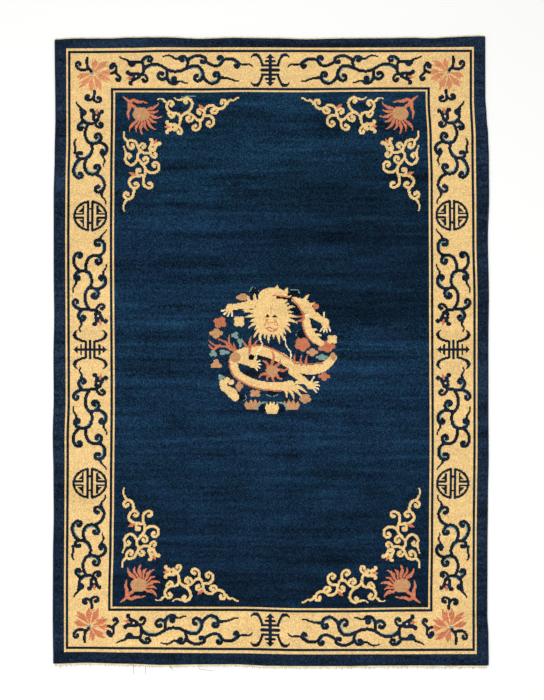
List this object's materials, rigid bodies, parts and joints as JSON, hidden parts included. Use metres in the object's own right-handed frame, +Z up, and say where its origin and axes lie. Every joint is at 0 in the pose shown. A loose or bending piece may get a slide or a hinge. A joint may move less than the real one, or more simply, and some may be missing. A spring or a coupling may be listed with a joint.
{
  "type": "hand-knotted chinese rug",
  "caption": "Flat rectangular knotted wool rug with softly wandering edges, overcast side cords, and narrow cotton webs with short frayed warp ends.",
  "frame": {"origin": "middle of the rug's outline, frayed ends included, on its underside", "axes": "+X across the rug, +Y along it towards the end with the narrower web, +Z up through the pile"},
  "size_m": [1.837, 2.6936, 0.008],
  "materials": {
    "wool_pile": "short cut wool pile, matt with a soft sheen",
    "side_yarn": "navy yarn wound round the edge warps",
    "cotton_warp": "undyed cotton, flat woven and frayed"
  },
  "bodies": {
    "root": {"pile_body": "wool_pile", "selvedge_left": "side_yarn", "selvedge_right": "side_yarn", "end_web_top": "cotton_warp", "end_web_bottom": "cotton_warp"}
  },
  "joints": []
}
